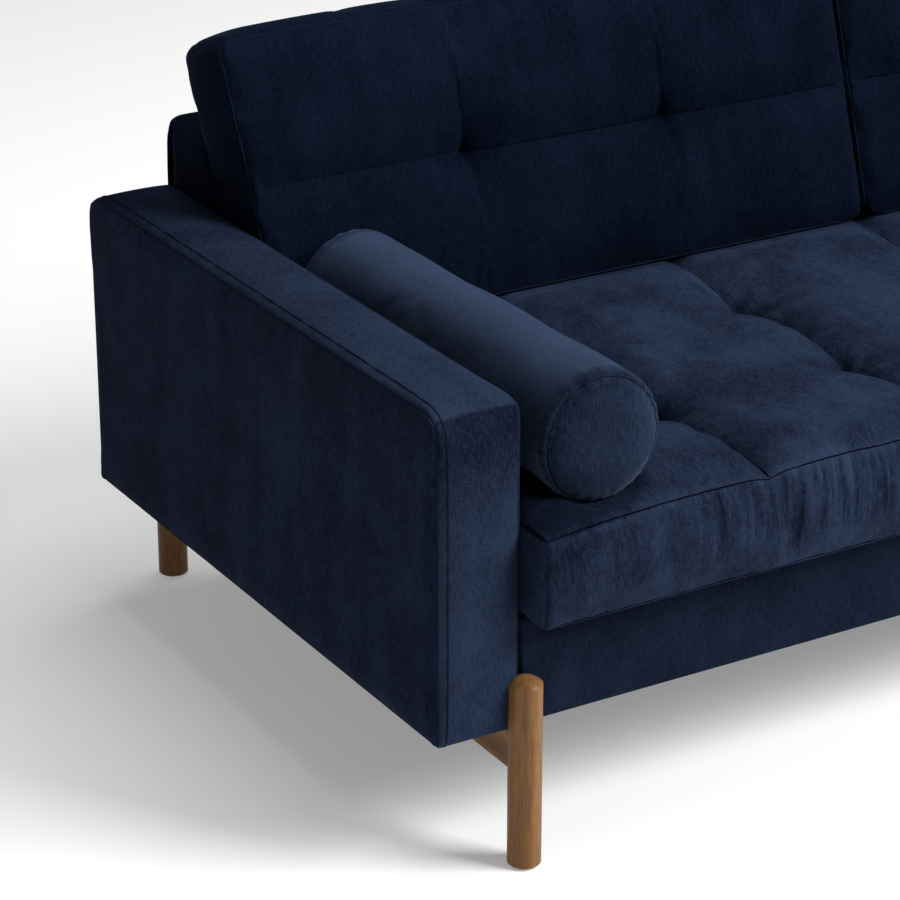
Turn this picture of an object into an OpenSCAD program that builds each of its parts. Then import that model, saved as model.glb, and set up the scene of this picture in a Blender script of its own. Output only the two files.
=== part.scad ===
// Two-seat sofa with slab arms, a bench seat cushion, two back cushions, two bolsters
// and dowel legs joined by side stretchers. Millimetres. The sofa faces -Y and stands on Z = 0.

/* [Overall] */
// Width over both arms
overall_w = 2080; // [1600:10:2400]
// Depth of the arms, front face to rear face
body_d = 898; // [840:2:960]
// Height of the arm's top
arm_top_z = 583; // [560:1:620]
// Height of the body's underside above the floor
body_z = 173; // [150:1:185]
// Thickness of one arm
arm_t = 113; // [110:1:150]

/* [Legs and stretchers] */
// Radius of a leg
leg_r = 20.25; // [16:0.25:24]
// Height of a leg's domed top
leg_top_z = 245; // [230:1:255]
// How far a front leg's axis stands in front of the arm's front face
front_leg_out = 10; // [4:1:15]
// How far a rear leg's axis stands behind the rear face
rear_leg_out = 15; // [4:1:16]
// Height of a side stretcher
stretcher_h = 47; // [30:1:60]
// Thickness of a side stretcher
stretcher_t = 32; // [20:1:36]

/* [Seat] */
// Height of the seat deck that the cushion rests on
deck_z = 312; // [305:1:330]
// Height of the seat cushion's upper seam
seat_seam_z = 436; // [420:1:440]
// Height of the seat cushion's crown
seat_top_z = 452; // [448:1:460]
// How far the seat cushion's front seam stands in front of the arms
seat_over = 42; // [20:1:60]
// How much further the front boxing bulges
seat_bulge = 8; // [0:1:12]

/* [Back] */
// Lean of the back from upright, in degrees
lean = 18; // [12:1:20]
// Depth of the back frame's foot behind the arm's front face
back_foot = 690; // [660:1:700]
// Height at which the back frame starts to lean
lean_z = 430; // [400:1:430]
// Height of the back frame's top
back_top_z = 669; // [640:1:700]
// Thickness of a back cushion
cushion_t = 106; // [90:1:108]
// Height of a back cushion's upper front seam
cushion_top_z = 822; // [760:1:860]
// How far a back cushion's face is crowned
cushion_crown = 18; // [0:1:22]

/* [Bolsters] */
// Radius of a bolster
bolster_r = 78; // [60:1:80]
// Distance of a bolster's axis from the arm
bolster_in = 106; // [90:1:140]
// Height of a bolster's axis
bolster_z = 514; // [505:1:525]
// Length of a bolster
bolster_len = 578; // [400:1:580]

/* [Colours] */
// Upholstery cloth
cloth = "midnightblue"; // [midnightblue, navy, slategray]
// Stained wood of the legs and stretchers
stained = "saddlebrown"; // [saddlebrown, sienna, peru]

/* [Hidden] */
$fn = 48;
eps = 0.5;

// Layers of the upholstery, from the outside in
skin = 3;
pad_t = 8;
panel_t = 3;
wall = skin + pad_t + panel_t;
fit_gap = 0.3;

// Depths are measured back from the arm's front face, which lies at Y = y_front
total_d = seat_over + seat_bulge + body_d + rear_leg_out + leg_r;
y_front = seat_over + seat_bulge - total_d / 2;

// Widths are measured from the middle of the sofa
half_w = overall_w / 2;
half_in = half_w - arm_t;
frame_in = half_in + wall;
frame_out = half_w - wall;

// Base frame
board = 25;
rail_front = 16;
rail_z = body_z + skin;
rail_top = 290;
rail_h = rail_top - rail_z;
rear_panel_t = 9;
side_rail_t = 29;
side_rail_x = frame_in - side_rail_t;
rail_rear = body_d - rear_panel_t - board;
brace_x = 310;
brace_h = 60;
block_leg = 60;
block_z = [180, 250];

// Springs: flat zigzag wires across the seat, hooked in clips at both ends
wire = 3.8;
spring_z = 292;
spring_step = 150;
spring_count = 12;
spring_bar = 34;
spring_pitch = 34;
spring_bars = 20;
spring_start = rail_front + 14;
clip_w = 26;
clip_d = 14;
clip_t = 1.5;
deck_t = 13.7;
deck_low = deck_z - fit_gap - deck_t;
border_front = 7;
border_return = 50;

// Legs
dome_h = 9;
foot_chamfer = 2;
glide_t = 1.5;
glide_r = 14;
glide_stem_r = 3;
glide_stem_h = 14;
notch_gap = 0.3;
leg_x = half_in;
leg_screw_z = 215;
leg_screw_r = 4;
leg_screw_len = 77;
leg_screw_in = 8;
dowel_r = 6;
dowel_len = 36;
stretcher_low = body_z - stretcher_h;
dowel_z = stretcher_low + stretcher_h / 2;
screw_r = 3;
screw_head_r = 6;
screw_head_h = 4;
screw_len = 80;
screw_sink = 10;
screw_depths = [120, 410, 700];

// Arms
arm_edge = 8;
arm_corner = 30;
arm_rear_corner = 40;
arm_foot_corner = 20;
post_t = 30;
arm_frame_top = arm_top_z - skin - pad_t - panel_t;
top_rail_h = 20;
bottom_rail_h = 40;
deck_cut_z = 300;
bolt_r = 4;
bolt_head_r = 8;
bolt_head_h = 4;
bolt_len = 92;
bolt_z = rail_z + bottom_rail_h / 2;
bolt_depths = [150, 449, 750];

// Back frame
slope = tan(lean);
back_z = deck_low;
back_pad_t = 12;
web_t = 2;
web_w = 50;
web_count = 10;
web_z = [322, 640];
back_board_t = 18;
top_board_t = 25;
back_frame_y = skin + back_pad_t + web_t;
back_frame_top = back_top_z - skin - back_pad_t;
back_frame_x = half_in - skin - 9;

// Cushions
side_gap = 1;
soft_r = 14;
core_in = 3.5;
tie_r = 1.2;
tie_bore_r = 1.6;
seat_back_y = 686;
seat_rows = [0.32, 0.635];
seat_columns = [-0.667, -0.347, 0, 0.347, 0.667];
back_core_in = 12;
cushion_w = half_in - side_gap - 0.5;
cushion_foot_z = seat_top_z + fit_gap;
cushion_foot_y = 582;
thirds = [1, 2] / 3;
zip_h = 5;
zip_end = 60;
tuft_up = (cushion_top_z - cushion_foot_z) / 2 / cos(lean);
bolster_edge = 20;
bolster_front = -8;

// ---- helpers ----

// Draws its children on the right (+1) or mirrored on the left (-1)
module on_side(side) {
    mirror([side < 0 ? 1 : 0, 0, 0]) children();
}

// A board from depth y0, height z0 and width x0, of the given size
module board_at(x0, y0, z0, size) {
    translate([x0, y_front + y0, z0]) cube(size);
}

// A round bar along Y that starts at depth y0
module bar_y(x0, y0, z0, r, len) {
    translate([x0, y_front + y0, z0]) rotate([-90, 0, 0]) cylinder(r = r, h = len);
}

// A round bar along X that starts at x0
module bar_x(x0, y0, z0, r, len) {
    translate([x0, y_front + y0, z0]) rotate([0, 90, 0]) cylinder(r = r, h = len);
}

// A closed block with round edges between two corners
module soft_block(low, high, r) {
    hull()
        for (x = [low[0] + r, high[0] - r], y = [low[1] + r, high[1] - r], z = [low[2] + r, high[2] - r])
            translate([x, y, z]) sphere(r = r, $fn = 24);
}

// Extrudes a side view, drawn as (depth, height), across the sofa from x0 to x1
module across(x0, x1) {
    translate([x0, y_front, 0])
        rotate([90, 0, 90])
            linear_extrude(x1 - x0) children();
}

// ---- legs, stretchers and their fasteners ----

// Depth of the leg axis at the front (-1) or at the rear (+1)
function leg_y(end) = end < 0 ? -front_leg_out : body_d + rear_leg_out;

// Space that a leg's upper part takes out of the upholstery
module leg_notches() {
    for (side = [-1, 1], end = [-1, 1])
        translate([side * leg_x, y_front + leg_y(end), body_z - eps])
            cylinder(r = leg_r + notch_gap, h = leg_top_z - body_z + 2 * eps);
}

// Space for the dowel screws that hold the legs
module leg_screw_holes(r) {
    for (side = [-1, 1]) {
        bar_y(side * leg_x, leg_screw_in - front_leg_out, leg_screw_z, r, leg_screw_len);
        bar_y(side * leg_x, leg_y(1) - leg_screw_in - leg_screw_len, leg_screw_z, r, leg_screw_len);
    }
}

// Space for the dowels between legs and stretchers
module dowel_holes(r) {
    for (side = [-1, 1]) {
        bar_y(side * leg_x, leg_screw_in - front_leg_out, dowel_z, r, dowel_len);
        bar_y(side * leg_x, leg_y(1) - leg_screw_in - dowel_len, dowel_z, r, dowel_len);
    }
}

// Space for the screws that hold a stretcher up against the side rail
module stretcher_screw_holes(r, head_r) {
    for (side = [-1, 1], depth = screw_depths)
        translate([side * leg_x, y_front + depth, stretcher_low]) {
            translate([0, 0, screw_sink - screw_head_h]) cylinder(r = head_r, h = screw_head_h);
            translate([0, 0, screw_sink]) cylinder(r = r, h = screw_len);
        }
}

module leg(side, end) {
    dome_r = (dome_h * dome_h + leg_r * leg_r) / (2 * dome_h);
    dome_angle = asin(leg_r / dome_r);
    foot = [[0, glide_t], [leg_r - foot_chamfer, glide_t], [leg_r, glide_t + foot_chamfer]];
    dome = [for (a = [dome_angle:-dome_angle / 8:0])
        [dome_r * sin(a), leg_top_z - dome_r + dome_r * cos(a)]];
    color(stained)
        difference() {
            translate([side * leg_x, y_front + leg_y(end), 0])
                rotate_extrude() polygon(concat(foot, dome));
            leg_screw_holes(leg_screw_r);
            dowel_holes(dowel_r);
            translate([side * leg_x, y_front + leg_y(end), 0])
                cylinder(r = glide_stem_r, h = glide_t + glide_stem_h);
        }
}

module leg_front_left() { leg(-1, -1); }
module leg_front_right() { leg(1, -1); }
module leg_rear_left() { leg(-1, 1); }
module leg_rear_right() { leg(1, 1); }

module stretcher(side) {
    color(stained)
        difference() {
            board_at(side * leg_x - stretcher_t / 2, -front_leg_out, stretcher_low,
                [stretcher_t, leg_y(1) + front_leg_out, stretcher_h]);
            for (end = [-1, 1])
                translate([side * leg_x, y_front + leg_y(end), 0]) cylinder(r = leg_r, h = body_z + eps);
            dowel_holes(dowel_r);
            stretcher_screw_holes(screw_r, screw_head_r);
            for (depth = screw_depths)
                translate([side * leg_x, y_front + depth, stretcher_low - eps])
                    cylinder(r = screw_head_r, h = screw_sink);
        }
}

module stretcher_left() { stretcher(-1); }
module stretcher_right() { stretcher(1); }

module stretcher_dowels() {
    color("burlywood") dowel_holes(dowel_r);
}

module stretcher_screws() {
    color("silver") stretcher_screw_holes(screw_r, screw_head_r);
}

module leg_dowel_screws() {
    color("silver") leg_screw_holes(leg_screw_r);
}

module leg_glides() {
    color("dimgray")
        for (side = [-1, 1], end = [-1, 1])
            translate([side * leg_x, y_front + leg_y(end), 0]) {
                cylinder(r = glide_r, h = glide_t);
                cylinder(r = glide_stem_r, h = glide_t + glide_stem_h);
            }
}

// ---- base frame ----

module front_rail() {
    color("burlywood")
        difference() {
            board_at(-frame_in, rail_front, rail_z, [2 * frame_in, board, rail_h]);
            leg_screw_holes(leg_screw_r);
        }
}

module rear_rail() {
    color("burlywood")
        difference() {
            board_at(-frame_in, rail_rear, rail_z, [2 * frame_in, board, rail_h]);
            leg_screw_holes(leg_screw_r);
        }
}

module seat_rear_rail() {
    color("burlywood")
        board_at(-side_rail_x, back_foot, rail_z, [2 * side_rail_x, board, rail_h]);
}

module side_rail() {
    color("burlywood")
        difference() {
            board_at(side_rail_x, rail_front + board, rail_z,
                [side_rail_t, rail_rear - rail_front - board, rail_h]);
            leg_screw_holes(leg_screw_r);
            stretcher_screw_holes(screw_r, screw_head_r);
            arm_bolt_holes(bolt_r, bolt_head_r);
        }
}

module side_rail_left() { on_side(-1) side_rail(); }
module side_rail_right() { on_side(1) side_rail(); }

module cross_braces() {
    color("burlywood")
        for (side = [-1, 1])
            board_at(side * brace_x - board / 2, rail_front + board, rail_z,
                [board, back_foot - rail_front - board, brace_h]);
}

module corner_blocks() {
    color("burlywood")
        for (side = [-1, 1])
            on_side(side)
                translate([side_rail_x, y_front, block_z[0]])
                    linear_extrude(block_z[1] - block_z[0]) {
                        translate([0, rail_front + board])
                            polygon([[0, 0], [-block_leg, 0], [0, block_leg]]);
                        translate([0, rail_rear])
                            polygon([[0, 0], [-block_leg, 0], [0, -block_leg]]);
                    }
}

// One half turn of a spring, open towards -X
module half_turn() {
    difference() {
        circle(r = (spring_pitch + wire) / 2, $fn = 24);
        circle(r = (spring_pitch - wire) / 2, $fn = 24);
        translate([-spring_pitch, -spring_pitch]) square([spring_pitch, 2 * spring_pitch]);
    }
}

module seat_spring() {
    linear_extrude(wire) {
        for (i = [0:spring_bars - 1])
            translate([-spring_bar / 2, i * spring_pitch - wire / 2]) square([spring_bar, wire]);
        for (i = [0:spring_bars - 2])
            mirror([i % 2, 0])
                translate([spring_bar / 2, (i + 0.5) * spring_pitch]) half_turn();
    }
}

module seat_springs() {
    color("silver")
        for (i = [0:spring_count - 1])
            translate([(i - (spring_count - 1) / 2) * spring_step, y_front + spring_start, spring_z])
                seat_spring();
}

// A clip folded over the end bar of a spring, with its closed side towards end
module spring_clip(end) {
    profile_t = spring_z - rail_top;
    high = spring_z + wire + clip_t;
    translate([-clip_w / 2, 0, 0])
        rotate([90, 0, 90])
            linear_extrude(clip_w)
                difference() {
                    translate([-clip_d / 2, rail_top]) square([clip_d, high - rail_top]);
                    translate([end < 0 ? -clip_d / 2 + clip_t : -clip_d / 2 - eps, rail_top + profile_t])
                        square([clip_d - clip_t + eps, wire]);
                }
}

module spring_clips() {
    last_bar = spring_start + (spring_bars - 1) * spring_pitch;
    color("dimgray")
        for (i = [0:spring_count - 1])
            translate([(i - (spring_count - 1) / 2) * spring_step, y_front, 0]) {
                translate([0, spring_start, 0]) spring_clip(-1);
                translate([0, last_bar, 0]) spring_clip(1);
            }
}

module deck_pad() {
    color("dimgray")
        board_at(-half_in, border_front + border_return, deck_low,
            [2 * half_in, back_foot - border_front - border_return, deck_t]);
}

module front_border() {
    top = deck_z - fit_gap;
    color(cloth)
        difference() {
            union() {
                board_at(-half_in, border_front, body_z,
                    [2 * half_in, rail_front - border_front, top - body_z]);
                board_at(-half_in, border_front, deck_low, [2 * half_in, border_return, top - deck_low]);
            }
            leg_notches();
            leg_screw_holes(leg_screw_r);
        }
}

module dust_cover() {
    color("black")
        difference() {
            board_at(-frame_out, rail_front, body_z,
                [2 * frame_out, body_d - rear_panel_t - rail_front, skin]);
            stretcher_screw_holes(screw_r, screw_head_r);
            for (side = [-1, 1])
                on_side(side)
                    board_at(half_in, body_d - wall, body_z - eps, [arm_t, wall, skin + 2 * eps]);
        }
}

// ---- arms: everything is drawn on the right and mirrored for the left ----

// Side view of the arm, drawn inset from its outline
module arm_outline(inset) {
    hull() {
        translate([inset, body_z + inset]) square(1);
        translate([body_d - arm_foot_corner, body_z + arm_foot_corner])
            circle(r = arm_foot_corner - inset, $fn = 32);
        translate([arm_corner, arm_top_z - arm_corner]) circle(r = arm_corner - inset, $fn = 32);
        translate([body_d - arm_rear_corner, arm_top_z - arm_rear_corner])
            circle(r = arm_rear_corner - inset, $fn = 32);
    }
}

// The arm's form, inset on every side
module arm_form(inset) {
    hull() {
        across(half_in + inset, half_w - inset) arm_outline(arm_edge + inset);
        across(half_in + arm_edge + inset, half_w - arm_edge - inset) arm_outline(inset);
    }
}

// What the arm's soft layers leave free: the open underside, the seat base and the legs
module arm_openings() {
    board_at(frame_in - panel_t, wall, body_z - eps,
        [frame_out - frame_in + 2 * panel_t, body_d - 2 * wall, wall]);
    board_at(half_in - eps, rail_front, body_z - eps,
        [wall + eps, body_d - rail_front - rear_panel_t, deck_cut_z - body_z]);
    leg_notches();
    leg_screw_holes(leg_screw_r);
}

// Hollow of the arm behind its pad
module arm_hollow() {
    board_at(frame_in - panel_t, wall, body_z - eps,
        [frame_out - frame_in + 2 * panel_t, body_d - 2 * wall, arm_frame_top - body_z + eps]);
}

module arm_cover() {
    color(cloth)
        difference() {
            arm_form(0);
            arm_form(skin);
            arm_openings();
        }
}

module arm_pad() {
    color("ivory")
        difference() {
            arm_form(skin);
            arm_hollow();
            arm_openings();
        }
}

module arm_panels() {
    color("peru") {
        board_at(frame_in - panel_t, wall, deck_cut_z,
            [panel_t, body_d - 2 * wall, arm_frame_top - deck_cut_z]);
        board_at(frame_out, wall, rail_z, [panel_t, body_d - 2 * wall, arm_frame_top - rail_z]);
    }
}

module arm_front_post() {
    color("burlywood")
        board_at(frame_in, wall, rail_z, [frame_out - frame_in, post_t, arm_frame_top - rail_z]);
}

module arm_rear_post() {
    color("burlywood")
        board_at(frame_in, body_d - wall - post_t, rail_z,
            [frame_out - frame_in, post_t, arm_frame_top - rail_z]);
}

module arm_top_rail() {
    color("burlywood")
        board_at(frame_in, wall + post_t, arm_frame_top - top_rail_h,
            [frame_out - frame_in, body_d - 2 * (wall + post_t), top_rail_h]);
}

module arm_bottom_rail() {
    color("burlywood")
        difference() {
            board_at(frame_in, wall + post_t, rail_z,
                [frame_out - frame_in, body_d - 2 * (wall + post_t), bottom_rail_h]);
            arm_bolt_holes(bolt_r, bolt_head_r);
        }
}

// Space for the bolts that join an arm to the side rail
module arm_bolt_holes(r, head_r) {
    for (depth = bolt_depths) {
        bar_x(side_rail_x - bolt_head_h, depth, bolt_z, head_r, bolt_head_h);
        bar_x(side_rail_x, depth, bolt_z, r, bolt_len);
    }
}

module arm_bolts() {
    color("silver")
        for (side = [-1, 1]) on_side(side) arm_bolt_holes(bolt_r, bolt_head_r);
}

module arm_left_front_post() { on_side(-1) arm_front_post(); }
module arm_left_rear_post() { on_side(-1) arm_rear_post(); }
module arm_left_top_rail() { on_side(-1) arm_top_rail(); }
module arm_left_bottom_rail() { on_side(-1) arm_bottom_rail(); }
module arm_left_panels() { on_side(-1) arm_panels(); }
module arm_left_pad() { on_side(-1) arm_pad(); }
module arm_left_cover() { on_side(-1) arm_cover(); }
module arm_right_front_post() { on_side(1) arm_front_post(); }
module arm_right_rear_post() { on_side(1) arm_rear_post(); }
module arm_right_top_rail() { on_side(1) arm_top_rail(); }
module arm_right_bottom_rail() { on_side(1) arm_bottom_rail(); }
module arm_right_panels() { on_side(1) arm_panels(); }
module arm_right_pad() { on_side(1) arm_pad(); }
module arm_right_cover() { on_side(1) arm_cover(); }

// ---- back frame ----

// Depth of the back frame's front face at a height, with a layer taken off it
function back_y(z, layer) = back_foot + layer + max(0, z - lean_z) * slope;

// Side view of the back between two heights, from a layer's front to the depth y1
module back_outline(layer, z0, z1, y1) {
    knee = z0 < lean_z ? [[back_y(lean_z, layer), lean_z]] : [];
    polygon(concat([[back_y(z0, layer), z0]], knee, [[back_y(z1, layer), z1], [y1, z1], [y1, z0]]));
}

module back_front_cover() {
    color(cloth)
        difference() {
            across(-half_in, half_in) back_outline(0, back_z, back_top_z, body_d);
            across(-half_in + skin, half_in - skin)
                back_outline(skin, back_z - eps, back_top_z - skin, body_d + eps);
        }
}

module back_pad() {
    color("ivory")
        difference() {
            across(-half_in + skin, half_in - skin)
                back_outline(skin, back_z, back_top_z - skin, body_d - rear_panel_t);
            across(-back_frame_x, back_frame_x)
                back_outline(skin + back_pad_t, back_z - eps, back_frame_top, body_d + eps);
        }
}

module back_rear_cover() {
    color(cloth)
        difference() {
            board_at(-half_in + skin, body_d - rear_panel_t, body_z,
                [2 * (half_in - skin), rear_panel_t, back_top_z - skin - body_z]);
            leg_notches();
            leg_screw_holes(leg_screw_r);
        }
}

module back_base_board() {
    color("burlywood")
        board_at(-back_frame_x, back_foot + back_frame_y, rail_top,
            [2 * back_frame_x, body_d - rear_panel_t - back_foot - back_frame_y, back_board_t]);
}

module back_post(x0) {
    color("burlywood")
        across(x0 - board / 2, x0 + board / 2)
            back_outline(back_frame_y, rail_top + back_board_t, back_frame_top - top_board_t,
                body_d - rear_panel_t);
}

module back_post_left() { back_post(-back_frame_x + board / 2); }
module back_post_middle() { back_post(0); }
module back_post_right() { back_post(back_frame_x - board / 2); }

module back_top_rail() {
    color("burlywood")
        across(-back_frame_x, back_frame_x)
            back_outline(back_frame_y, back_frame_top - top_board_t, back_frame_top,
                body_d - rear_panel_t);
}

module back_webbing() {
    step = 2 * back_frame_x / web_count;
    color("dimgray")
        for (i = [0:web_count - 1])
            translate([(i - (web_count - 1) / 2) * step, 0, 0])
                across(-web_w / 2, web_w / 2)
                    difference() {
                        back_outline(skin + back_pad_t, web_z[0], web_z[1], body_d);
                        back_outline(back_frame_y, web_z[0] - eps, web_z[1] + eps, body_d + eps);
                    }
}

// ---- seat cushion ----

module seat_form(inset) {
    half = half_in - side_gap - inset;
    front = y_front - seat_over + inset;
    rear = y_front + seat_back_y - inset;
    low = deck_z + inset;
    hull() {
        soft_block([-half, front, low], [half, rear, seat_seam_z - inset], soft_r);
        soft_block([-half + 90, front + 110, low], [half - 90, rear - 90, seat_top_z - inset], soft_r);
        soft_block([-half + 30, front - seat_bulge, low + 26], [half - 30, rear, seat_seam_z - inset - 26],
            soft_r);
    }
}

// Bars at the tufts, in rows and columns across the cushion, from inset below its faces
module seat_ties(r, inset) {
    for (column = seat_columns, row = seat_rows)
        translate([column * half_in, y_front - seat_over + row * (seat_back_y + seat_over),
            deck_z + inset])
            cylinder(r = r, h = seat_top_z - deck_z - 2 * inset);
}

module seat_cushion_cover() {
    half = half_in - side_gap - zip_end;
    color(cloth)
        difference() {
            seat_form(0);
            seat_form(skin);
            board_at(-half, seat_back_y - skin - eps, (deck_z + seat_seam_z - zip_h) / 2,
                [2 * half, skin + 2 * eps, zip_h]);
        }
}

module seat_cushion_core() {
    color("ivory")
        difference() {
            seat_form(core_in);
            seat_ties(tie_bore_r, 0);
        }
}

module seat_cushion_ties() {
    color("white") seat_ties(tie_r, core_in);
}

// ---- back cushions: drawn on the right and mirrored for the left ----

// Puts its children in a back cushion's own frame: X across, Y out through its rear, Z up its lean
module on_lean() {
    translate([0, y_front + cushion_foot_y, cushion_foot_z]) rotate([-lean, 0, 0]) children();
}

module back_cushion_form(inset) {
    height = (cushion_top_z - cushion_foot_z) / cos(lean) - inset;
    x0 = 0.5 + inset;
    x1 = x0 + cushion_w - 2 * inset;
    foot = [y_front + cushion_foot_y + soft_r * slope, cushion_foot_z + inset + soft_r];
    clear = cushion_t * slope + 8;
    hull() {
        for (x = [x0 + soft_r, x1 - soft_r], t = [inset + soft_r, cushion_t - inset - soft_r])
            translate([x, foot[0] + t / cos(lean), foot[1]]) sphere(r = soft_r, $fn = 24);
        on_lean() {
            soft_block([x0, inset, clear], [x1, cushion_t - inset, height], soft_r);
            soft_block([x0 + 80, inset - cushion_crown, 60], [x1 - 80, cushion_t - inset, height - 60],
                soft_r);
            soft_block([x0 + 40, 25 + inset, clear], [x1 - 40, cushion_t - 25 - inset, height + 16],
                soft_r);
        }
    }
}

// Bars at the tufts, at the thirds of the cushion's width, from inset below its faces
module back_ties(r, inset) {
    on_lean()
        for (column = thirds)
            translate([0.5 + column * cushion_w, inset - cushion_crown, tuft_up])
                rotate([-90, 0, 0]) cylinder(r = r, h = cushion_t + cushion_crown - 2 * inset);
}

module back_cushion_cover() {
    color(cloth)
        difference() {
            back_cushion_form(0);
            back_cushion_form(skin);
            board_at(zip_end, cushion_foot_y + cushion_t / 2, cushion_foot_z - eps,
                [cushion_w - 2 * zip_end, zip_h, skin + 2 * eps]);
        }
}

// Point of the side view at t behind the cushion's face and u up its lean
function lean_point(t, u) = [
    cushion_foot_y + t * cos(lean) + u * sin(lean),
    cushion_foot_z - t * sin(lean) + u * cos(lean)
];

// Point of the side view at t behind the cushion's face and rise above its foot
function foot_point(t, rise) = lean_point(t, (rise + t * sin(lean)) / cos(lean));

module back_cushion_core() {
    top = (cushion_top_z - cushion_foot_z) / cos(lean) - back_core_in;
    rear = cushion_t - back_core_in;
    color("ivory")
        difference() {
            across(0.5 + back_core_in, 0.5 + cushion_w - back_core_in)
                polygon([foot_point(back_core_in, back_core_in), foot_point(rear, back_core_in),
                    lean_point(rear, top), lean_point(back_core_in, top)]);
            back_ties(tie_bore_r, 0);
        }
}

module back_cushion_left_cover() { on_side(-1) back_cushion_cover(); }
module back_cushion_left_core() { on_side(-1) back_cushion_core(); }
module back_cushion_left_ties() { on_side(-1) color("white") back_ties(tie_r, core_in); }
module back_cushion_right_cover() { on_side(1) back_cushion_cover(); }
module back_cushion_right_core() { on_side(1) back_cushion_core(); }
module back_cushion_right_ties() { on_side(1) color("white") back_ties(tie_r, core_in); }

// ---- bolsters ----

// A cylinder along the arm with round edges, flattened where it rests on the seat
module bolster_form(inset) {
    r = bolster_r - inset;
    len = bolster_len - 2 * inset;
    edge = bolster_edge - inset;
    intersection() {
        translate([half_in - bolster_in, y_front + bolster_front + inset, bolster_z])
            rotate([-90, 0, 0])
                rotate_extrude($fn = 72)
                    union() {
                        square([r - edge, len]);
                        translate([0, edge]) square([r, len - 2 * edge]);
                        for (end = [edge, len - edge]) translate([r - edge, end]) circle(r = edge);
                    }
        board_at(0, -bolster_r, seat_top_z + fit_gap + inset, [half_w, body_d, bolster_z]);
    }
}

module bolster_cover() {
    color(cloth)
        difference() {
            bolster_form(0);
            bolster_form(skin);
        }
}

module bolster_core() {
    color("ivory") bolster_form(core_in);
}

module bolster_left_cover() { on_side(-1) bolster_cover(); }
module bolster_left_core() { on_side(-1) bolster_core(); }
module bolster_right_cover() { on_side(1) bolster_cover(); }
module bolster_right_core() { on_side(1) bolster_core(); }

front_rail();
seat_rear_rail();
rear_rail();
side_rail_left();
side_rail_right();
cross_braces();
corner_blocks();
seat_springs();
spring_clips();
deck_pad();
front_border();
dust_cover();
leg_front_left();
leg_front_right();
leg_rear_left();
leg_rear_right();
stretcher_left();
stretcher_right();
stretcher_dowels();
stretcher_screws();
leg_dowel_screws();
leg_glides();
arm_left_front_post();
arm_left_rear_post();
arm_left_top_rail();
arm_left_bottom_rail();
arm_left_panels();
arm_left_pad();
arm_left_cover();
arm_right_front_post();
arm_right_rear_post();
arm_right_top_rail();
arm_right_bottom_rail();
arm_right_panels();
arm_right_pad();
arm_right_cover();
arm_bolts();
back_base_board();
back_post_left();
back_post_middle();
back_post_right();
back_top_rail();
back_webbing();
back_pad();
back_front_cover();
back_rear_cover();
seat_cushion_cover();
seat_cushion_core();
seat_cushion_ties();
back_cushion_left_cover();
back_cushion_left_core();
back_cushion_left_ties();
back_cushion_right_cover();
back_cushion_right_core();
back_cushion_right_ties();
bolster_left_cover();
bolster_left_core();
bolster_right_cover();
bolster_right_core();
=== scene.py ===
import math
import bmesh
import bpy
import numpy as np
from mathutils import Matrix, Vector


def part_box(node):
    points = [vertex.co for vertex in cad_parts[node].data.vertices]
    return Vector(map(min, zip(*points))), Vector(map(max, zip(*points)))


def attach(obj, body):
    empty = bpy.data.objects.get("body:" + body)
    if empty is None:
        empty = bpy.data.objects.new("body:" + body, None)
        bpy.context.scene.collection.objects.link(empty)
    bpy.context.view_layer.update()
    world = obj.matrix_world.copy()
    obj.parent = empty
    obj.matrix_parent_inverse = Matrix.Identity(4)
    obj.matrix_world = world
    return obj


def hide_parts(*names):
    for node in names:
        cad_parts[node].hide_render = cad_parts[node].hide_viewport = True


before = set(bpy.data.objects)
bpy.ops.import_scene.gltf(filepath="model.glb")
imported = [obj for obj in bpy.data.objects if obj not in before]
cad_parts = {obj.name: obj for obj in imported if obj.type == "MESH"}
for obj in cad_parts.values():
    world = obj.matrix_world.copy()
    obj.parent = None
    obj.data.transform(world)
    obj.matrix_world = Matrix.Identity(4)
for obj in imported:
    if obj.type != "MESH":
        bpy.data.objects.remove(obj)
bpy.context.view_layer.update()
scene = bpy.context.scene

# The view comes first, so that everything after it can be looked at
view = {"place": (-2.695, -3.2541, 1.949), "tilt": 66.75, "turn": -30.75, "lens": 130.25}
cameraData = bpy.data.cameras.new("studioCamera")
cameraData.lens = view["lens"]
cameraData.sensor_width = 36
cameraData.clip_end = 60
camera = bpy.data.objects.new("studioCamera", cameraData)
camera.location = view["place"]
camera.rotation_euler = (math.radians(view["tilt"]), 0, math.radians(view["turn"]))
scene.collection.objects.link(camera)
scene.camera = camera
print("camera placed")

# Places are measured from two faces of the right arm, in metres
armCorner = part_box("arm_right_cover")[0]
frontY = armCorner.y
inside = armCorner.x


class Wire:
    def __init__(self, tree, socket):
        self.tree, self.socket = tree, socket

    def maths(self, operation, a, b=None):
        node = self.tree.make("ShaderNodeMath", {"operation": operation})
        for slot, value in zip(node.inputs, (a, b)):
            self.tree.feed(slot, value)
        return Wire(self.tree, node.outputs[0])

    def __add__(self, other): return self.maths("ADD", self, other)
    def __radd__(self, other): return self.maths("ADD", other, self)
    def __sub__(self, other): return self.maths("SUBTRACT", self, other)
    def __rsub__(self, other): return self.maths("SUBTRACT", other, self)
    def __mul__(self, other): return self.maths("MULTIPLY", self, other)
    def __rmul__(self, other): return self.maths("MULTIPLY", other, self)
    def __pow__(self, other): return self.maths("POWER", self, other)


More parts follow.
